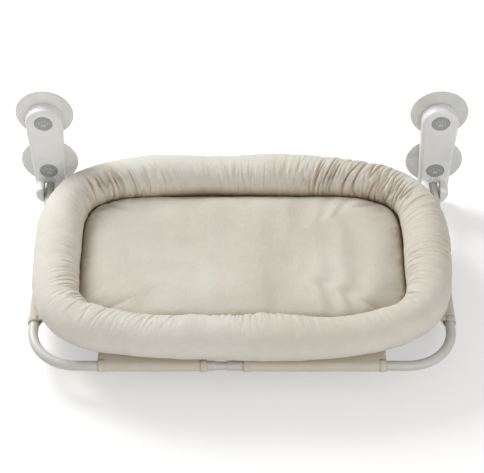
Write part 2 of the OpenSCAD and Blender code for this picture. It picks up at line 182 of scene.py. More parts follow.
def make(name, points, faces, material, crease=40):
    """A new piece from points and faces, smooth but for edges sharper than crease."""
    mesh = bpy.data.meshes.new(name)
    mesh.from_pydata([tuple(map(float, p)) for p in points], [], faces)
    work = bmesh.new()
    work.from_mesh(mesh)
    bmesh.ops.recalc_face_normals(work, faces=work.faces)
    work.to_mesh(mesh)
    work.free()
    mesh.shade_smooth()
    mesh.set_sharp_from_angle(angle=math.radians(crease))
    mesh.materials.append(material)
    return put(name, mesh)


def skin(rings, count, closed=False, first=0):
    """The faces between rings of count points each, and back to the first ring if closed."""
    faces = []
    for i in range(rings if closed else rings - 1):
        a, b = first + i * count, first + (i + 1) % rings * count
        faces += [(a + k, a + (k + 1) % count, b + (k + 1) % count, b + k) for k in range(count)]
    return faces


def rod(rings, count, first):
    """The faces of a rod of rings of count points each, with both its ends closed."""
    ends = (first, first + (rings - 1) * count)
    return skin(rings, count, first=first) + [tuple(range(end, end + count)) for end in ends]


def turned(rings, sides, x, z):
    """Rings of (radius, distance out from the glass) about a line at x and z. Either value may be
    one number or one for each side. A ring of no radius closes an end, and with none the last
    ring joins back to the first."""
    turn = np.linspace(0, 2 * np.pi, sides, endpoint=False)
    joined = bool(np.any(rings[0][0]))
    body = rings if joined else rings[1:-1]
    points = [
        point for r, out in body
        for point in np.stack([x + r * np.cos(turn), 0 * turn - out, z + r * np.sin(turn)], 1)
    ]
    faces = skin(len(body), sides, closed=joined)
    if not joined:
        pole, last = len(points), len(points) - sides
        points += [(x, -rings[0][1], z), (x, -rings[-1][1], z)]
        for k in range(sides):
            after = (k + 1) % sides
            faces += [(after, k, pole), (last + k, last + after, pole + 1)]
    return points, faces


def arc(radius, out, wide, high, start, stop, steps):
    """Points of an oval edge about a centre at radius and out, by angles in degrees."""
    turns = [math.radians(start + (stop - start) * i / steps) for i in range(steps + 1)]
    return [(radius + wide * math.cos(a), out + high * math.sin(a)) for a in turns]


def four(kind):
    """The four nodes of a kind, as each one's ending, name, corners and middle."""
    for side in SIDES:
        for level in LEVELS:
            low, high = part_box(f"{kind}_{side}_{level}")
            x, z = (low.x + high.x) / 2, (low.z + high.z) / 2
            yield f"{side}_{level}", f"{kind}_{side}_{level}", low, high, x, z


clear_vinyl, place = finish("clear_vinyl")
haze = place.noise(38, detail=4)
out = place.along("Y") * -1
coat(
    clear_vinyl, place,
    Base_Color=out.between(hub_tint_low, hub_tint_high).mix(
        haze.between().mix(tone(236, 236, 232), tone(224, 225, 221)), tone(116, 132, 148)
    ),
    Roughness=0.13 + 0.12 * haze,
    Normal=place.noise(90).relief(0.0002),
    IOR=1.52, Transmission_Weight=0.62, Specular_IOR_Level=0.6,
)

for which, node, low, high, x, z in four("suction_cup"):
    cup_radius, cup_height = (high.x - low.x) / 2, -low.y
    edge, bore = cup_edge / 2, stud_radius + stud_play
    dome_wide, dome_high = hub_radius - hub_top_radius, cup_height - dome_foot
    points, faces = turned(
        disc_back + [(cup_radius - cup_seal, 0.0)]
        + arc(cup_radius - edge, edge, edge, edge, -90, 90, 8) + disc_front + hub_fillet
        + arc(hub_top_radius, dome_foot, dome_wide, dome_high, 0, 90, 10)
        + [(bore + hub_mouth, cup_height), (bore, cup_height - hub_mouth)]
        + [(bore, head_front), (head_radius, head_front)]
        + [(head_radius, head_back), (0, head_back)],
        cup_sides, x, z,
    )
    cup = make(f"clear_cup_{which}", points, faces, clear_vinyl, crease=50)
    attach(cup, "wall_unit")
    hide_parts(node)


# Cup studs
# Zinc plated steel, with a flat head that the vinyl is moulded round and a rolled thread. Each
# comes through its boss in the bracket and takes a nut.
thread_pitch, thread_deep, thread_crest = 0.00125, 0.00062, 0.2
thread_steps, thread_sides, thread_start, tip_bevel = 8, 36, 0.0060, 0.0008
# Profiles, as steps off a radius and a distance: off the head's radius and back, off the stud's
# radius and the head's back, and off the stud's radius and tip
head_rim = [(-0.0006, 0), (0, 0.0005), (0, 0.0015), (-0.0005, 0.0020)]
neck = [(0.0004, 0.0020), (0, 0.0025)]
tip_end = [(-thread_deep, -0.0002), (-0.0012, 0)]

zinc_steel, place = finish("zinc_steel")
brushed = place.node("Mapping", {}, {"Vector": place, "Scale": (1, 14, 1)}, "Vector")
streaks = brushed.noise(300, detail=3)
bloom = place.noise(160, detail=4, rough=0.6)
coat(
    zinc_steel, place,
    Base_Color=bloom.between(0.35, 0.75).mix(tone(196, 198, 200), tone(150, 152, 155)),
    Roughness=0.22 + 0.22 * streaks,
    Normal=streaks.relief(0.00002),
    Metallic=1.0,
)


def off(radius, out, steps):
    """Points of a profile, from its steps off a radius and a distance out."""
    return [(radius + r, out + d) for r, d in steps]


def threaded(start, stop):
    """Rings of a rolled thread, which fades out at both ends."""
    side = np.arange(thread_sides) / thread_sides
    rings = []
    for out in np.linspace(start, stop, round((stop - start) / thread_pitch * thread_steps)):
        slope = abs(2 * ((out / thread_pitch - side) % 1) - 1)
        tooth = np.minimum(1, slope / (1 - thread_crest))
        fade = min(1, (out - start) / thread_pitch, (stop - out) / thread_pitch)
        rings.append((stud_radius - thread_deep * (1 - tooth) * fade, out))
    return rings


for which, node, low, high, x, z in four("cup_stud"):
    head, back, tip = (high.x - low.x) / 2, -high.y, -low.y
    points, faces = turned(
        [(0, back)] + off(head, back, head_rim) + off(stud_radius, back, neck)
        + threaded(back + thread_start, tip - tip_bevel)
        + off(stud_radius, tip, tip_end) + [(0, tip)],
        thread_sides, x, z,
    )
    stud = make(f"threaded_stud_{which}", points, faces, zinc_steel, crease=50)
    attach(stud, "wall_unit")
    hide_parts(node)


# Brackets
# White moulded plastic shells with ribs inside. Two nuts in the wells hold each one on its cups'
# studs, and the end of an arm hangs in the hook near its foot.
grain_size, shell_rounds, hook_rounds = 0.0009, 5, 40
hook_half, hook_top, lip_round, horn_round = 0.0192, 0.0155, 0.0050, 0.0075
# The height of the middle of the hook's round foot, at two distances from the glass
foot_outs, foot_middles = (0.0199, 0.0452), (-0.0058, 0.0062)
# The hook starts this far in front of the caps, and its smoothing comes in over this depth
hook_gap, hook_blend = 0.0008, 0.0020

white_plastic, place = finish("white_plastic")
spark = place.noise(1500)
flow = place.noise(26, detail=3, bend=0.6)
handled = place.noise(70, detail=5, rough=0.62)
coat(
    white_plastic, place,
    Base_Color=flow.between(0.3, 0.72).mix(tone(236, 236, 236), tone(228, 228, 227)),
    Roughness=0.30 + 0.13 * handled,
    Normal=spark.relief(0.00006, flow.relief(0.0005)),
    Specular_IOR_Level=0.5, Coat_Weight=0.12, Coat_Roughness=0.2,
)


def smoothed(points, edges, weight, rounds):
    """Each round moves a point half way to the middle of its neighbours, and then nearly as far
    back, so that edges are rounded and walls keep their places."""
    count = np.bincount(edges.ravel(), minlength=len(points))[:, None]
    for step in range(2 * rounds):
        total = np.stack([
            np.bincount(edges[:, 0], points[edges[:, 1], axis], len(points))
            + np.bincount(edges[:, 1], points[edges[:, 0], axis], len(points))
            for axis in range(3)
        ], axis=1)
        pull = 0.5 if step % 2 == 0 else -0.47
        points = points + pull * weight * (total / count - points)
    return points


def fine_skin(node, name):
    """A copy of a solid as an even fine mesh."""
    copy = put(name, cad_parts[node].data.copy())
    copy.modifiers.new("weld", "WELD").merge_threshold = 0.00001
    remesh = copy.modifiers.new("grain", "REMESH")
    remesh.mode, remesh.voxel_size = "VOXEL", grain_size
    bpy.context.view_layer.update()
    settled = copy.evaluated_get(bpy.context.evaluated_depsgraph_get())
    mesh = bpy.data.meshes.new_from_object(settled)
    points = np.zeros(len(mesh.vertices) * 3)
    edges = np.zeros(len(mesh.edges) * 2, int)
    mesh.vertices.foreach_get("co", points)
    mesh.edges.foreach_get("vertices", edges)
    faces = [tuple(p.vertices) for p in mesh.polygons]
    bpy.data.objects.remove(copy)
    bpy.data.meshes.remove(mesh)
    return points.reshape(-1, 3), edges.reshape(-1, 2), faces


def corner(u, v):
    """What a square corner, at u and v above 0, is scaled by to come out round."""
    a, b = np.maximum(u, 0), np.maximum(v, 0)
    return np.where(a * b > 0, np.maximum(a, b) / np.maximum(np.hypot(a, b), 1e-9), 1)


# The soft corners come from a fine skin over the solid, which is then smoothed. The hook is
# smoothed more, and its horns and the front of its lip are drawn in round.
low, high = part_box("bracket_left")
middle, lip_front = (low.x + high.x) / 2, -low.y
across = (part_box("bracket_right")[0] - low).x
points, edges, faces = fine_skin("bracket_left", "bracket_skin")
points = smoothed(points, edges, np.ones((len(points), 1)), shell_rounds)
cap_front = -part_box("cover_cap_left_upper")[0].y
in_hook = np.clip((-points[:, 1] - cap_front - hook_gap) / hook_blend, 0, 1)

# The horns, as seen from the front
x, out, z = points[:, 0] - middle, -points[:, 1], points[:, 2]
u, v = abs(x) - hook_half + horn_round, z - hook_top + horn_round
drawn = 1 - in_hook * (1 - corner(u, v))
x = np.where(u > 0, np.sign(x) * (hook_half - horn_round + u * drawn), x)
z = np.where(v > 0, hook_top - horn_round + v * drawn, z)
# The lip's front, as seen from above and, round its foot, from the side
drop = np.minimum(z - np.interp(out, foot_outs, foot_middles), 0)
reach = np.maximum(np.hypot(x, drop), 1e-6)
u, v = reach - hook_half + lip_round, out - lip_front + lip_round
drawn = corner(u, v)
shorter = np.where(u > 0, (hook_half - lip_round + u * drawn) / reach, 1)
x, z = x * shorter, z - drop * (1 - shorter)
out = np.where(v > 0, lip_front - lip_round + v * drawn, out)
u, v = z - hook_top + lip_round, out - lip_front + lip_round
drawn = corner(u, v)
z = np.where(u > 0, hook_top - lip_round + u * drawn, z)
out = np.where(v > 0, lip_front - lip_round + v * drawn, out)
in_front = out > cap_front
points[in_front] = np.stack([x + middle, -out, z], axis=1)[in_front]
points = smoothed(points, edges, in_hook[:, None], hook_rounds)
for side, shift in zip(SIDES, (0, across)):
    placed = points + (shift, 0, 0)
    bracket = make(f"moulded_bracket_{side}", placed, faces, white_plastic, crease=180)
    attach(bracket, "wall_unit")
    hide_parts(f"bracket_{side}")


# Hex nuts
# Zinc plated steel, chamfered at both faces and tapped. Each sits in a six-sided pocket in the
# floor of its well and is screwed down on the stud.
nut_sides, nut_chamfer, chamfer_slope, nut_lead, nut_play = 72, 0.97, 0.55, 0.0007, 0.00012

for which, node, low, high, x, z in four("hex_nut"):
    flat, bore = (high.x - low.x) / 2 * math.cos(math.pi / 6), stud_radius + nut_play
    back, face = -high.y, -low.y
    turn = np.linspace(0, 2 * np.pi, nut_sides, endpoint=False)
    hexagon = flat / np.cos(turn % (np.pi / 3) - np.pi / 6)
    inner = nut_chamfer * flat
    sunk = (hexagon - inner) * chamfer_slope
    points, faces = turned([
        (inner, back), (hexagon, back + sunk), (hexagon, face - sunk), (inner, face),
        (bore + nut_lead, face), (bore, face - nut_lead), (bore, back + nut_lead),
        (bore + nut_lead, back),
    ], nut_sides, x, z)
    nut = make(f"nut_{which}", points, faces, zinc_steel, crease=18)
    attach(nut, "wall_unit")
    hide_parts(node)


# Cover caps
# Grey moulded plastic discs with a raised paw print, pressed into the wells over the nuts. Two
# legs behind each one go into slits in the well's floor.
cap_edge, cap_thick, cap_rings, cap_sides = 0.0006, 0.0020, 46, 160
cap_back = [(0, 0.0003), (-0.0004, 0)]
solid_print_high = 0.0003
cap_face = cap_front - solid_print_high
# Painted highlight: the raised paw print is painted lighter, fading in over these heights above the
# cap's face
print_highlight_low, print_highlight_high = cap_face + 0.00010, cap_face + 0.00035
leg_wide, leg_high, leg_long, leg_off = 0.0061, 0.0015, 0.0082, 0.00966
leg_root, leg_nose, leg_taper = 0.0002, 0.0006, 0.7
square = ((-1, -1), (1, -1), (1, 1), (-1, 1))
# The print's height and the depth of the groove round it, and as shares of a pad's size where the
# pad ends and how wide its slope is, and the groove's middle and half width
paw_high, moat_deep = 0.0005, 0.00022
pad_end, pad_slope, moat_middle, moat_half = 1.12, 0.34, 1.32, 0.24
# Each pad of the print: its place, half width and half height as shares of the cap, and its lean
paw_pads = [
    (0.00, -0.27, 0.30, 0.20, 0), (-0.17, -0.34, 0.15, 0.14, 20), (0.17, -0.34, 0.15, 0.14, -20),
    (-0.47, 0.05, 0.10, 0.17, 24), (-0.17, 0.31, 0.10, 0.18, 8),
    (0.17, 0.31, 0.10, 0.18, -8), (0.47, 0.05, 0.10, 0.17, -24),
]

grey_plastic, place = finish("grey_plastic")
spark = place.noise(1700)
flow = place.noise(40, detail=3, bend=0.5)
out = place.along("Y") * -1
coat(
    grey_plastic, place,
    # The raised print painted lighter, as a painted highlight
    Base_Color=out.between(print_highlight_low, print_highlight_high).mix(
        flow.between().mix(tone(164, 169, 167), tone(155, 160, 158)), tone(190, 195, 193)
    ),
    Roughness=0.42 + 0.16 * place.noise(90, detail=4),
    Normal=spark.relief(0.00008),
    Specular_IOR_Level=0.45,
)


def paw_height(x, z):
    """How far the paw print stands above a cap's face, at shares of the cap's radius."""
    near = np.inf
    for px, pz, wide, high, lean in paw_pads:
        a = math.radians(lean)
        u = (x - px) * math.cos(a) + (z - pz) * math.sin(a)
        v = (z - pz) * math.cos(a) - (x - px) * math.sin(a)
        near = np.minimum(near, np.hypot(u / wide, v / high))
    raised = np.clip((pad_end - near) / pad_slope, 0, 1)
    moat = np.clip(1 - abs(near - moat_middle) / moat_half, 0, 1)
    return paw_high * raised * raised * (3 - 2 * raised) - moat_deep * moat * moat


for which, node, low, high, x, z in four("cover_cap"):
    radius, back = (high.x - low.x) / 2, cap_face - cap_thick
    turn = np.linspace(0, 2 * np.pi, cap_sides, endpoint=False)
    rings = [(0, cap_face + paw_height(0, 0))]
    for r in np.linspace(0, radius - cap_edge, cap_rings + 1)[1:]:
        print_height = paw_height(r * np.cos(turn) / radius, r * np.sin(turn) / radius)
        rings.append((r, cap_face + print_height))
    rings += arc(radius - cap_edge, cap_face - cap_edge, cap_edge, cap_edge, 72, 0, 4)
    rings += off(radius, back, cap_back) + [(0, back)]
    points, faces = turned(rings, cap_sides, x, z)
    for up in (-1, 1):
        first = len(points)
        tip, root = back - leg_long, back + leg_root
        for share, out in ((leg_taper, tip), (1, tip + leg_nose), (1, root)):
            for sx, sz in square:
                points.append((
                    x + sx * leg_wide / 2 * share, -out,
                    z + up * leg_off + sz * leg_high / 2 * share,
                ))
        faces += rod(3, 4, first)
    cap = make(f"paw_cap_{which}", points, faces, grey_plastic, crease=45)
    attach(cap, f"{which}_cap")
    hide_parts(node)


# Frame tubes and rear bar
# Drawn steel tube, bent, swaged to a neck at one side of each joint and powder coated pale grey.
# The halves push together and lock with a snap button; the rear bar runs through the rear sleeves.
tube_paint, place = finish("tube_paint")
peel = place.noise(900)
wear = place.noise(55, detail=6, rough=0.66).between(0.60, 0.72)
coat(
    tube_paint, place,
    Base_Color=place.noise(18, detail=3).between().mix(
        tone(206, 206, 201), tone(197, 197, 192)
    ),
    Roughness=0.36 + 0.10 * place.noise(240, detail=3) + 0.14 * wear,
    Normal=peel.relief(0.00010),
    Specular_IOR_Level=0.5, Coat_Weight=0.15, Coat_Roughness=0.25,
)

for side in SIDES:
    for node in (f"frame_tube_{side}", f"rear_bar_{side}"):
        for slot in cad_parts[node].material_slots:
            slot.material = tube_paint


# End plugs
# Grey moulded plugs pushed into the open ends of the arms and of the rear bar, so that no cut
# edge shows. Their flanges lie against the tubes' ends.
plug_plastic, place = finish("plug_plastic")
coat(
    plug_plastic, place,
    Base_Color=place.noise(120, detail=3).between().mix(
        tone(176, 177, 175), tone(163, 164, 162)
    ),
    Roughness=0.45 + 0.15 * place.noise(300, detail=3),
    Normal=place.noise(1400).relief(0.00008),
)

for side in SIDES:
    for node in (f"frame_end_plug_{side}", f"bar_end_plug_{side}"):
        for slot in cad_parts[node].material_slots:
            slot.material = plug_plastic


# Snap buttons and their springs
# Steel buttons with domed heads on strips of spring steel bent double inside the necks. A button
# comes out through the holes of both tubes, and is pressed in to part them.
button_travel, button_dome, button_bevel, button_sides = 0.0028, 0.0017, 0.0002, 40

spring_steel, place = finish("spring_steel")
coat(
    spring_steel, place,
    Base_Color=place.noise(220, detail=3).between().mix(
        tone(150, 152, 156), tone(118, 120, 126)
    ),
    Roughness=0.25 + 0.2 * place.noise(700, detail=3),
    Normal=place.noise(900).relief(0.00002),
    Metallic=1.0,
)

for which, upward in (("front", Vector((0, 1, 0))), ("rear", Vector((0, 0, -1)))):
    node = f"{which}_button_spring"
    low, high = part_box(node)
    strip = put(f"spring_strip_{which}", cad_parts[node].data.copy())
    strip.data.materials.clear()
    strip.data.materials.append(spring_steel)
    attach(strip, "frame")
    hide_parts(node)
    foot = low if which == "front" else high
    tall = abs((high - low).dot(upward))
    1 - button_travel / tall
    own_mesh(strip)

    node = f"{which}_snap_button"
    low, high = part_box(node)
    foot = low if which == "front" else high
    tall = abs((high - low).dot(upward))
    radius = (high - low).x / 2
    centre = (low + high) / 2
    centre += upward * (foot - centre).dot(upward)
    points, faces = turned(
        [(0, 0), (radius - button_bevel, 0), (radius, button_bevel), (radius, tall - button_dome)]
        + arc(0, tall - button_dome, radius, button_dome, 10, 80, 7) + [(0, tall)],
        button_sides, 0, 0,
    )
    around = upward.cross((1, 0, 0))
    points = [centre + Vector((p[0], 0, 0)) - upward * p[1] + around * p[2] for p in points]
    button = make(f"domed_button_{which}", points, faces, zinc_steel, crease=50)
    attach(button, f"{which}_button")
    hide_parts(node)


# Base sheet
# Woven polyester cloth under the bed, its edge bound with tape. Six flaps sewn beneath it are
# wrapped round the tubes as sleeves, hemmed at their mouths, so that it hangs in the frame.
outline_power, opening_power, panel_inset = 3.2, 5.5, 0.022
panel_height, panel_columns, panel_rows, outline_steps = 0.0078, 72, 48, 8000
sag_deep, sag_waves = 0.0007, (31, 17)
# A flap's section: its heights at the panel and where it comes back, how far in it starts, where
# it comes back and where it ends, and its steps along a flat part and round the tube
cloth_thick, flap_height, return_height = 0.0006, 0.0071, 0.00645
flap_reach, return_start, return_reach = 0.034, 0.0130, 0.030
flat_steps, turn_steps, flap_step = 6, 33, 0.004
# A sleeve's slack: its depth, its size as a share of the sleeve, and how far below the flap it is
slack_deep, slack_share, slack_below = 0.00012, 0.12, 0.0008
# A hem is a second layer at a sleeve's mouth, and stands out past it
hem_wide, hem_steps, hem_out, hem_lift = 0.009, 3, 0.0003, 0.0012
hem_stitches, hem_first, hem_step, hem_seam, hem_seam_lift = 10, 70, 26, 0.002, 0.0015
# Two seams close a sleeve, this far in from its tube, and stop short of its mouths
seams, seam_start, seam_end = (0.0155, 0.0215), 0.003, 0.001
stitch_long, stitch_step, stitch_radius, stitch_flat, stitch_sides = 0.0027, 0.0038, 0.0003, 0.7, 6
# A stitch's section: where along its length, and its share of the full thickness
stitch_shape = ((-0.5, 0.35), (-0.36, 0.85), (0, 1), (0.36, 0.85), (0.5, 0.35))
# The tape's section, as (reach past the panel's edge, height over the panel)
tape_wide, tape_steps, tape_seam, tape_under = 0.009, 420, 0.72, 0.00068
tape = [
    (-tape_wide, 0.00060), (-0.0008, 0.00072), (0.0004, 0.00045), (0.0008, 0),
    (0.0004, -0.00045), (-0.0008, -0.00072), (-tape_wide, -0.00060),
]
weave_turns = 4300  # radians of a thread's wave to the metre

base_cloth, place = finish("base_cloth")
yarns = place.node("TexCoord", {}, {}, "UV")
warp, weft = (yarns.work("SINE", yarns.along(axis) * weave_turns) for axis in "XY")
soil = place.noise(30, detail=5, rough=0.6)
coat(
    base_cloth, place,
    Base_Color=(soil.between(0.32, 0.7) * 0.3 + (warp * weft) * 0.2 + 0.3).mix(
        tone(218, 213, 200), tone(203, 197, 182)
    ),
    Roughness=0.82 + 0.1 * soil,
    Normal=(warp * weft).relief(0.00010, place.noise(60, detail=3).relief(0.0008)),
    Sheen_Weight=0.15, Specular_IOR_Level=0.25,
)

bed_low, bed_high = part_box("bed_rim")
bed_middle = (bed_low + bed_high) / 2
tube_low, tube_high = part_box("rear_bar_left")
tube_radius = (tube_high.z - tube_low.z) / 2
bar_y = (tube_high.y + tube_low.y) / 2
frame_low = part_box("frame_tube_left")[0]
arm_x, front_y = -frame_low.x - tube_radius, frame_low.y + tube_radius


def oval(half_wide, half_deep, power, turn):
    """Points of a squarish oval at these angles; a higher power is squarer."""
    c, s = np.cos(turn), np.sin(turn)
    reach = (abs(c) ** power + abs(s) ** power) ** (-1 / power)
    return np.stack([half_wide * c * reach, half_deep * s * reach], 1)


def even_turns(count):
    """Angles that put points at even steps along the bed's outline, from its front round."""
    turn = np.linspace(-np.pi / 2, 1.5 * np.pi, outline_steps + 1)
    line = oval(half_wide, half_deep, outline_power, turn)
    along = np.append(0, np.cumsum(np.linalg.norm(np.diff(line, axis=0), axis=1)))
    return np.interp(np.linspace(0, along[-1], count, endpoint=False), along, turn), along[-1]


def oval_grid(half_wide, half_deep, power, columns, rows):
    """A grid of points that fills the outline, and how near each is to it, from 0 to 1."""
    u, v = np.meshgrid(np.linspace(-1, 1, columns + 1), np.linspace(-1, 1, rows + 1))
    near = np.maximum(abs(u), abs(v))
    oval_near = (abs(u) ** power + abs(v) ** power) ** (1 / power)
    share = near / np.maximum(oval_near, 1e-9)
    return half_wide * u * share, half_deep * v * share, near


def grid_faces(columns, rows, first=0):
    """The faces of a grid of points with that many squares each way."""
    wide = columns + 1
    corners = [first + r * wide + c for r in range(rows) for c in range(columns)]
    return [(a, a + 1, a + wide + 1, a + wide) for a in corners]


def clouds(seed, shape, size):
    """Seeded smooth random heights on a grid, of spread 1. A cloud's size is its share of the grid
    each way, and the heights meet at the grid's ends."""
    field = np.fft.rfft2(np.random.default_rng(seed).normal(size=shape))
    a = np.fft.fftfreq(shape[0], 1 / shape[0])[:, None] * size[0]
    b = np.fft.rfftfreq(shape[1], 1 / shape[1])[None] * size[1]
    field[0, 0] = 0
    field = np.fft.irfft2(field * np.exp(-4 * (a * a + b * b)), shape)
    return field / field.std()


cloth_points, cloth_faces, cloth_places = [], [], []
half_wide = (bed_high.x - bed_low.x) / 2
half_deep = (bed_high.y - bed_low.y) / 2
panel_wide, panel_deep = half_wide - panel_inset, half_deep - panel_inset

u, v, near = oval_grid(panel_wide, panel_deep, outline_power, panel_columns, panel_rows)
waves = np.sin(sag_waves[0] * u + sag_waves[1] * v)
sag = sag_deep * (1 - near ** 2) * (1 + 0.5 * waves)
for px, py, down in zip(u.ravel(), v.ravel(), sag.ravel()):
    cloth_points.append((px, bed_middle.y + py, panel_height - down))
    cloth_places.append((px, py))
cloth_faces += grid_faces(panel_columns, panel_rows)
oval_area = 4 * math.gamma(1 + 1 / outline_power) ** 2 / math.gamma(1 + 2 / outline_power)
cut_area = oval_area * panel_wide * panel_deep


def straight(start, stop, steps):
    """Points at even steps from start to stop, without stop."""
    return [tuple(a + (b - a) * i / steps for a, b in zip(start, stop)) for i in range(steps)]


def sleeve_path(radius):
    """The section of a flap: out over the tube, round it and back beneath, as (reach, height)."""
    leave = math.atan2(return_height, -return_start) + math.acos(
        radius / math.hypot(return_start, return_height)
    )
    turns = np.linspace(math.pi / 2, leave - 2 * math.pi, turn_steps + 1)
    around = [(radius * math.cos(a), radius * math.sin(a)) for a in turns]
    back, end = (-return_start, return_height), (-return_reach, return_height)
    return (
        straight((-flap_reach, flap_height), (0, flap_height), flat_steps) + around
        + straight(around[-1], back, flat_steps)[1:]
        + straight(back, end, flat_steps - 1) + [end]
    )


def add_flap(middle, across, along, start, stop, seed):
    """A flap round a tube through middle, from start to stop along it. Returns its cut area."""
    rows = round((stop - start) / flap_step)
    path = sleeve_path(tube_radius + cloth_thick)
    slack = clouds(seed, (rows + 1, 2), (slack_share, 1))[:, 0] * slack_deep
    first = len(cloth_points)
    far = 0.0
    for i, (reach, height) in enumerate(path):
        far += math.dist(path[i - 1], path[i]) if i else 0
        for r in range(rows + 1):
            swell = 1 + slack[r] / tube_radius * (height < flap_height - slack_below)
            t = start + (stop - start) * r / rows
            spot = middle + across * reach * swell + along * t
            cloth_points.append((spot.x, spot.y, height * swell))
            cloth_places.append((far, t))
    cloth_faces.extend(grid_faces(rows, len(path) - 1, first))
    band = sleeve_path(tube_radius + hem_lift)[flat_steps - 1:-flat_steps]
    turned_in = hem_wide * sum(math.dist(a, b) for a, b in zip(band, band[1:]))
    for mouth, inward in ((start, 1), (stop, -1)):
        first = len(cloth_points)
        for i, (reach, height) in enumerate(band):
            for r in range(hem_steps + 1):
                t = mouth + inward * (hem_wide * r / hem_steps - hem_out)
                spot = middle + across * reach + along * t
                cloth_points.append((spot.x, spot.y, height))
                cloth_places.append((i * 0.001, t))
        cloth_faces.extend(grid_faces(hem_steps, len(band) - 1, first))
    return far * (stop - start) + 2 * turned_in


thread_points, thread_faces = [], []


def stitch(middle, along, up):
    """One stitch of thread: a short rounded length that lies on the cloth."""
    side = along.cross(up)
    first = len(thread_points)
    for share, thick in stitch_shape:
        for k in range(stitch_sides):
            a = 2 * math.pi * k / stitch_sides
            thread_points.append(
                middle + along * stitch_long * share
                + (side * math.cos(a) + up * stitch_flat * math.sin(a)) * stitch_radius * thick
            )
    thread_faces.extend(rod(len(stitch_shape), stitch_sides, first))


# Each flap: the middle of its tube, the way out from the bed, the way along the tube, and its
# start and stop along that
X, Y, Z = Vector((1, 0, 0)), Vector((0, 1, 0)), Vector((0, 0, 1))
flaps = [
    (Vector((-arm_x, 0, 0)), -X, Y, -0.2812, -0.0912),
    (Vector((arm_x, 0, 0)), X, Y, -0.2812, -0.0912),
    (Vector((0, front_y, 0)), -Y, X, -0.185, -0.045),
    (Vector((0, front_y, 0)), -Y, X, 0.0016, 0.185),
    (Vector((0, bar_y, 0)), Y, X, -0.185, -0.016),
    (Vector((0, bar_y, 0)), Y, X, 0.032, 0.185),
]
for seed, (middle, across, along, start, stop) in enumerate(flaps):
    cut_area += add_flap(middle, across, along, start, stop, seed)
    for seam in seams:
        for i in range(int((stop - start - seam_start - seam_end) / stitch_step)):
            t = start + seam_start + i * stitch_step
            spot = middle - across * seam + along * t
            stitch(spot + Z * (return_height - cloth_thick / 2), along, -Z)
    for mouth, inward in ((start, 1), (stop, -1)):
        for k in range(hem_stitches):
            a = math.radians(hem_first - k * hem_step)
            up = across * math.cos(a) + Z * math.sin(a)
            spot = middle + along * (mouth + inward * (hem_wide - hem_seam))
            stitch(spot + up * (tube_radius + hem_seam_lift), along.cross(up), up)

# The sheet's edge is bound with a folded tape, sewn down with one row of stitches.
turns, length = even_turns(tape_steps)
line = oval(panel_wide, panel_deep, outline_power, turns)
ahead = np.roll(line, -1, 0) - np.roll(line, 1, 0)
ahead /= np.linalg.norm(ahead, axis=1)[:, None]
out = np.stack([ahead[:, 1], -ahead[:, 0]], 1)
tape_points = [
    (p[0] + n[0] * reach, bed_middle.y + p[1] + n[1] * reach, panel_height + height)
    for reach, height in tape for p, n in zip(line, out)
]
for k in range(int(length / stitch_step)):
    i = int(k * stitch_step / length * len(line)) % len(line)
    spot = line[i] - out[i] * tape_wide * tape_seam
    lies = Vector((spot[0], bed_middle.y + spot[1], panel_height - tape_under))
    stitch(lies, Vector((ahead[i, 0], ahead[i, 1], 0)), -Z)

tape_faces = skin(len(tape), tape_steps, closed=True)
sheet = make("bed_base_cloth", cloth_points, cloth_faces, base_cloth, crease=60)
tape_piece = make("base_edge_tape", tape_points, tape_faces, base_cloth, crease=60)
threads = make("base_stitching", thread_points, thread_faces, base_cloth, crease=180)
weave = sheet.data.uv_layers.new(name="weave")
for loop in sheet.data.loops:
    weave.data[loop.index].uv = cloth_places[loop.vertex_index]
ply = sheet.modifiers.new("ply", "SOLIDIFY")
ply.thickness, ply.offset = cloth_thick, 0
for piece in (sheet, tape_piece, threads):
    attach(piece, "frame")
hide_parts("bed_base_sheet")


# Floor pad
# A flat cushion of short plush over soft filling, sewn in round its edge inside the rim. It is
# filled in a cloth simulation, with more cloth than filling at the right, where it rumples.
pad_columns, pad_rows, pad_tuck, pad_seam_share, pad_room = 128, 80, 0.004, 0.3, 0.002
pad_edge_power, pad_crown_power, pad_sewn_from = 16, 40, 0.99
pad_slack_left, pad_slack_right, pad_pressure, pad_most = 0.012, 0.045, 2.5, 0.0045
# The rumples' and the puckers' depths and, as shares of the pad each way, their sizes
rumple_deep, long_rumple, round_rumple = 0.0021, (0.42, 0.045), (0.12, 0.09)
pucker_deep, pucker_size, pucker_near = 0.0006, (0.02, 0.02), 16
# Painted shade: the heights over which the bottom is painted darker, and the reach of the painted
# shade in creases; then the facings over which low plush facing up is painted darker, and how much
bottom_shade_from, bottom_shade_to, crease_shade_reach = 0.006, 0.042, 0.022
level_from, level_to, top_shade_share = 0.6, 0.95, 1.6

plush, place = finish("plush")
drift = place.noise(3.5, detail=1)
cloud = place.noise(9, detail=3, bend=0.8)
nap = place.noise(85, detail=3, rough=0.55)
pile = place.noise(1300, detail=3, rough=0.7)
tuft = place.noise(420, rough=0.6)
# Painted shade: plush is painted darker towards the bottom, and plush that lies low and faces up,
# as the pad's top does, is painted darker still.
low = 1 - place.along("Z").between(bottom_shade_from, bottom_shade_to)
facing_up = place.node("TexCoord", {}, {}, "Normal").along("Z").between(level_from, level_to)
painted_top_shade = low * facing_up * top_shade_share
# Painted shade in creases, hollows and where the pad meets the rim, from how enclosed each place is
painted_crease_shade = 1 - place.node("AmbientOcclusion", {"samples": 4}, {"Distance": crease_shade_reach}, "AO")
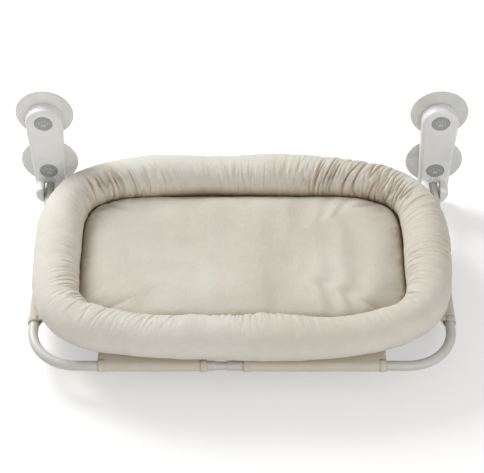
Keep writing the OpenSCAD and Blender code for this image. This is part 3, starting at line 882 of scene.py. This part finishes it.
# The plush's random tone, mixed towards tan with the painted shade towards the bottom and in
# creases
cloth = (
    drift.between(0.35, 0.65) * 0.10 + cloud.between() * 0.08
    + nap.between() * 0.05 + pile * 0.08 + low * 0.12 + painted_crease_shade * 0.65
).mix(tone(230, 229, 221), tone(186, 160, 126))
coat(
    plush, place,
    # Painted shade: low plush that faces up is painted darker
    Base_Color=painted_top_shade.mix(cloth, tone(172, 167, 153)),
    Roughness=0.88 + 0.10 * nap,
    Normal=pile.relief(0.0006, tuft.relief(0.0007, nap.relief(0.0005))),
    Subsurface_Weight=0.15, Subsurface_Radius=(1.0, 0.7, 0.5), Subsurface_Scale=0.004,
    Sheen_Weight=0.3, Sheen_Roughness=0.35, Sheen_Tint=tone(255, 252, 246), Specular_IOR_Level=0.1,
)


def filled(points, faces, cut, sewn, pressure, most, frames=20):
    """Fills a sewn shell in a cloth simulation. Its springs are as long as in the flat cut, sewn
    points keep their places, and no point moves further than most."""
    start = np.array(points, float)
    scene = bpy.context.scene
    mesh = bpy.data.meshes.new("shell")
    mesh.from_pydata(start.tolist(), [], faces)
    shell = put("shell", mesh)
    shell.shape_key_add(name="sewn")
    flat = shell.shape_key_add(name="cut")
    flat.data.foreach_set("co", np.asarray(cut, np.float32).ravel())
    held = shell.vertex_groups.new(name="held")
    held.add([int(i) for i in np.nonzero(sewn)[0]], 1.0, "REPLACE")
    filling = shell.modifiers.new("filling", "CLOTH")
    how = filling.settings
    how.rest_shape_key = flat
    how.vertex_group_mass = "held"
    how.quality, how.mass, how.air_damping = 6, 0.25, 2
    how.tension_stiffness = how.compression_stiffness = 18
    how.shear_stiffness, how.bending_stiffness = 6, 0.35
    how.use_pressure, how.uniform_pressure_force = True, pressure
    how.effector_weights.gravity = 0
    filling.collision_settings.use_collision = False
    filling.point_cache.frame_start, filling.point_cache.frame_end = 1, frames
    for step in range(1, frames + 1):
        scene.frame_set(step)
    settled = shell.evaluated_get(bpy.context.evaluated_depsgraph_get()).to_mesh()
    moved = np.zeros(len(start) * 3, np.float32)
    settled.vertices.foreach_get("co", moved)
    bpy.data.objects.remove(shell)
    scene.frame_set(1)
    move = moved.reshape(-1, 3).astype(float) - start
    far = np.linalg.norm(move, axis=1)[:, None]
    return start + move * np.minimum(1, most * np.tanh(far / most) / np.maximum(far, 1e-9))


rim_wide, rim_high = 0.064, bed_high.z - bed_low.z
pad_low, pad_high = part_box("bed_floor_pad")
pad_tall = pad_high.z - pad_low.z
pad_wide, pad_deep = half_wide - rim_wide + pad_tuck, half_deep - rim_wide + pad_tuck
u, v, near = oval_grid(pad_wide, pad_deep, opening_power, pad_columns, pad_rows)
bulge = np.sqrt(np.maximum(0, 1 - near ** pad_edge_power))
crown = np.sqrt(np.maximum(0, 1 - near ** pad_crown_power))
top = pad_low.z + (pad_tall - pad_room) * (pad_seam_share + (1 - pad_seam_share) * crown)
top = np.stack([u, v + bed_middle.y, top], -1).reshape(-1, 3)
base = np.stack([u, v + bed_middle.y, pad_low.z + pad_tall * pad_seam_share * (1 - bulge)], -1)
inner = (near < 1).ravel()
index = np.where(inner, np.cumsum(inner) - 1 + len(top), np.arange(len(top)))
points = np.concatenate([top, base.reshape(-1, 3)[inner]])
faces = grid_faces(pad_columns, pad_rows)
faces += [tuple(int(index[i]) for i in reversed(face)) for face in faces]
slack = pad_slack_left + (pad_slack_right - pad_slack_left) * np.clip(points[:, 0] / pad_wide, 0, 1)
cut = points.copy()
cut[:, 0] *= 1 + slack
cut[:, 1] = bed_middle.y + (cut[:, 1] - bed_middle.y) * (1 + slack)
sewn = np.ones(len(points), bool)
sewn[:len(top)] = near.ravel() > pad_sewn_from
points = filled(points, faces, cut, sewn, pad_pressure, pad_most)
# Long rumples, deeper towards the right, shallow round ones, and puckers along the seam
shape = near.shape
loose = np.clip(0.3 + 1.5 * u / pad_wide, 0.2, 1)
rumple = loose * clouds(7, shape, long_rumple) + 0.35 * clouds(8, shape, round_rumple)
pucker = np.exp(-((1 - near) * pucker_near) ** 2) * clouds(9, shape, pucker_size)
points[:len(top), 2] += (rumple * rumple_deep * (1 - near ** 6) + pucker * pucker_deep).ravel()
pad = make("plush_floor_pad", points, faces, plush, crease=180)
fine = pad.modifiers.new("fine", "SUBSURF")
fine.levels = fine.render_levels = 1
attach(pad, "frame")
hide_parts("bed_floor_pad")


# Padded rim
# A fat roll of the same plush round the bed, stuffed with loose fibre. It is one straight tube of
# cloth drawn into a ring, so its inner side has cloth to spare, and gathers at the corners.
coarse_round, coarse_across = 300, 36
fine_round, fine_across = 1500, 66
rim_start_share, rim_inner_share, rim_flat, rim_foot = 0.965, 0.86, 0.0010, 0.003
rim_pressure, rim_slack, rim_most = 4.0, 1.035, 0.0060
# Each gather: its place on the outline and its spread there, its place round the roll and its
# spread there, in degrees, and its depth
gathers = [
    (136, 14, 150, 55, 0.0042), (95, 42, 140, 50, 0.0009), (50, 17, 125, 70, 0.0039),
    (2, 32, 20, 42, 0.0023), (0, 28, 130, 40, 0.0008), (-40, 17, 145, 55, 0.0025),
    (-92, 48, 125, 50, 0.0012), (-141, 15, 150, 60, 0.0036), (180, 22, 150, 45, 0.0012),
]
# Sizes along the rim and round the roll, in metres
gather_size, fine_gather_size, patch_size = (0.0058, 0.042), (0.00348, 0.021), (0.05, 0.03)
lump_size, crease_size = (0.075, 0.075), (0.015, 0.030)
gather_half, lump_deep, crease_deep, gather_fade = 0.5, 0.0015, 0.00034, 0.010


def rim_surface(round_count, across_count, grown):
    """The rim's plain form, as a grid of points: a soft roll between the bed's outline and its
    squarer opening, flat where it stands."""
    turns, length = even_turns(round_count)
    outer = oval(half_wide, half_deep, outline_power, turns)
    inner = oval(half_wide - rim_wide, half_deep - rim_wide, opening_power, turns)
    middle, reach = (outer + inner) / 2, (outer - inner) / 2 * grown
    turn = np.linspace(0, 2 * np.pi, across_count, endpoint=False)
    grid = np.zeros((round_count, across_count, 3))
    grid[..., :2] = middle[:, None] + reach[:, None] * np.cos(turn)[None, :, None]
    grid[..., 1] += bed_middle.y
    high = rim_high / 2 * (1 + np.sin(turn)) * grown - rim_flat
    grid[..., 2] = bed_low.z + np.maximum(high, 0)
    return grid, turn, length


def finer(grid, count, axis):
    """Resamples closed rows of points to a higher count, smoothly."""
    spectrum = np.fft.rfft(grid, axis=axis)
    return np.fft.irfft(spectrum, count, axis=axis) * (count / grid.shape[axis])


start, turn, length = rim_surface(coarse_round, coarse_across, rim_start_share)
seam = coarse_round // 2
tube = np.concatenate([np.roll(start, -seam, 0), start[seam:seam + 1]])
# The cut is a straight tube, as long as the roll is outside and longer than it is inside.
lying = np.linalg.norm(np.diff(tube, axis=0), axis=2)
lying = np.maximum(lying, rim_inner_share * length / coarse_round)
cut = np.zeros_like(tube)
cut[1:, :, 0] = np.cumsum(lying, 0)
cut[..., 1] = np.cos(turn) * rim_wide / 2 * rim_slack
cut[..., 2] = np.sin(turn) * rim_high / 2 * rim_slack
foot = np.repeat((start[0, :, 2] < bed_low.z + rim_foot)[None], coarse_round + 1, 0)
foot[0], foot[-1] = True, True
faces = [tuple(reversed(face)) for face in skin(coarse_round + 1, coarse_across)]
roll = filled(tube.reshape(-1, 3), faces, cut.reshape(-1, 3), foot.ravel(), rim_pressure, rim_most)
roll = np.roll(roll.reshape(coarse_round + 1, coarse_across, 3)[:-1], seam, 0)
roll = finer(finer(roll, fine_round, 0), fine_across, 1)

plain, turn, length = rim_surface(fine_round, fine_across, 1.0)
middle_line = plain[:, :, :2].mean(1) - (0, bed_middle.y)
place_round = np.degrees(np.arctan2(middle_line[:, 1] / half_deep, middle_line[:, 0] / half_wide))
depth = np.zeros((fine_round, fine_across))
for at, spread, roll_at, roll_spread, deep in gathers:
    away = (place_round[:, None] - at + 180) % 360 - 180
    turned_by = (np.degrees(turn)[None] - roll_at + 180) % 360 - 180
    depth += deep * np.exp(-(away / spread) ** 2 - (turned_by / roll_spread) ** 2)
# Flat where it stands, the roll's girth is less than a full round's.
girth = 2.9 * (rim_wide + rim_high) / 2


def roll_clouds(seed, size):
    """Clouds over the rim's cloth, of a size in metres."""
    return clouds(seed, depth.shape, (size[0] / length, size[1] / girth))


folds = np.exp(-(roll_clouds(21, gather_size) / gather_half) ** 2)
patches = np.clip(1 + 0.55 * roll_clouds(25, patch_size), 0.15, 1.9)
fine_folds = np.exp(-(roll_clouds(22, fine_gather_size) / gather_half) ** 2)
sink = depth * patches * (folds + 0.35 * fine_folds)
bumps = lump_deep * roll_clouds(23, lump_size) + crease_deep * roll_clouds(24, crease_size)
side_a = np.roll(roll, -1, 0) - np.roll(roll, 1, 0)
side_b = np.roll(roll, -1, 1) - np.roll(roll, 1, 1)
normal = np.cross(side_a, side_b)
normal /= np.linalg.norm(normal, axis=2)[..., None]
outward = roll - roll.mean(1, keepdims=True)
normal *= np.sign((normal * outward).sum(2).mean())
upper = np.clip((roll[..., 2] - bed_low.z) / gather_fade, 0, 1)
roll = roll + normal * ((bumps - sink) * upper)[..., None]
roll[..., 2] = np.maximum(roll[..., 2], bed_low.z)
rim_faces = skin(fine_round, fine_across, closed=True)
rim = make("plush_rim", roll.reshape(-1, 3), rim_faces, plush, crease=180)
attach(rim, "frame")
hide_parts("bed_rim")
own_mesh(rim)


# Studio
# A pale floor just under the brackets' feet, which fades to white away from the perch, a soft
# lamp behind at the left, a weaker one in front at the right, and the camera in front.
floor_height, floor_half, floor_white = cad_box[0].z - 0.003, 6.0, (0.8, 0.8, 0.8)
floor_glow, fade_start, fade_end, sky_light = 0.32, 0.45, 1.5, 0.4
camera_lens, camera_distance, camera_rise = 116, 2.1, 46
camera_aim = Vector((0, -0.165, 0.045))

floor_paper, place = finish("floor_paper")
tree = floor_paper.node_tree
start = Wire(tree)
seen = start.node("LightPath", {}, {}, "Is Camera Ray")
far = place.node("VectorMath", {"operation": "LENGTH"}, {"Vector": place}, "Value")
far = far.between(fade_start, fade_end)
paper = start.node("BsdfDiffuse", {}, {"Color": floor_white}, "BSDF")
glow = start.node("Emission", {}, {"Color": (1, 1, 1), "Strength": floor_glow * seen}, "Emission")
white = start.node("Emission", {}, {"Color": (1, 1, 1), "Strength": 1.0}, "Emission")
near_floor = start.node("AddShader", {}, {"Shader": paper, "Shader_001": glow}, "Shader")
above = {"Fac": far, "Shader": near_floor, "Shader_001": white}
above = start.node("MixShader", {}, above, "Shader")
below = start.node("NewGeometry", {}, {}, "Backfacing")
clear = start.node("BsdfTransparent", {}, {}, "BSDF")
whole = start.node("MixShader", {}, {"Fac": below, "Shader": above, "Shader_001": clear}, "Shader")
tree.nodes.remove(tree.nodes["Principled BSDF"])
start.feed(tree.nodes["Material Output"], {"Surface": whole})
corners = [(x * floor_half, y * floor_half, floor_height) for x, y in square]
floor = make("floor", corners, [(0, 1, 2, 3)], floor_paper)

world = bpy.data.worlds.new("studio")
world.use_nodes = True
bpy.context.scene.world = world
sky = Wire(world.node_tree)
rays = ("Is Camera Ray", "Is Glossy Ray", "Is Transmission Ray")
rays = [sky.node("LightPath", {}, {}, ray) for ray in rays]
seen = (rays[0] + rays[1] + rays[2]).between(0, 1)
sky.feed(world.node_tree.nodes["Background"], {
    "Color": seen.mix((1.0, 0.985, 0.96), (1, 1, 1)),
    "Strength": sky_light + (1 - sky_light) * seen,
})


def soft_light(name, place, size, power, colour):
    """A square studio lamp that faces the perch."""
    lamp = bpy.data.lights.new(name, "AREA")
    lamp.shape, lamp.size, lamp.energy, lamp.color = "SQUARE", size, power, colour
    holder = put(name, lamp)
    holder.location = place
    holder.rotation_euler = (camera_aim - Vector(place)).to_track_quat("-Z", "Y").to_euler()


soft_light("window_light", (-1.5, 1.35, 1.55), size=1.2, power=58, colour=(1.0, 0.995, 0.98))
soft_light("front_light", (0.9, -2.2, 1.3), size=1.6, power=22, colour=(1.0, 0.98, 0.95))

camera = put("camera", bpy.data.cameras.new("camera"))
rise = math.radians(camera_rise)
back = Vector((0, -math.cos(rise), math.sin(rise)))
camera.location = camera_aim + back * camera_distance
camera.rotation_euler = (-back).to_track_quat("-Z", "Y").to_euler()
camera.data.lens = camera_lens
bpy.context.scene.camera = camera
bpy.context.scene.view_settings.view_transform = "Standard"
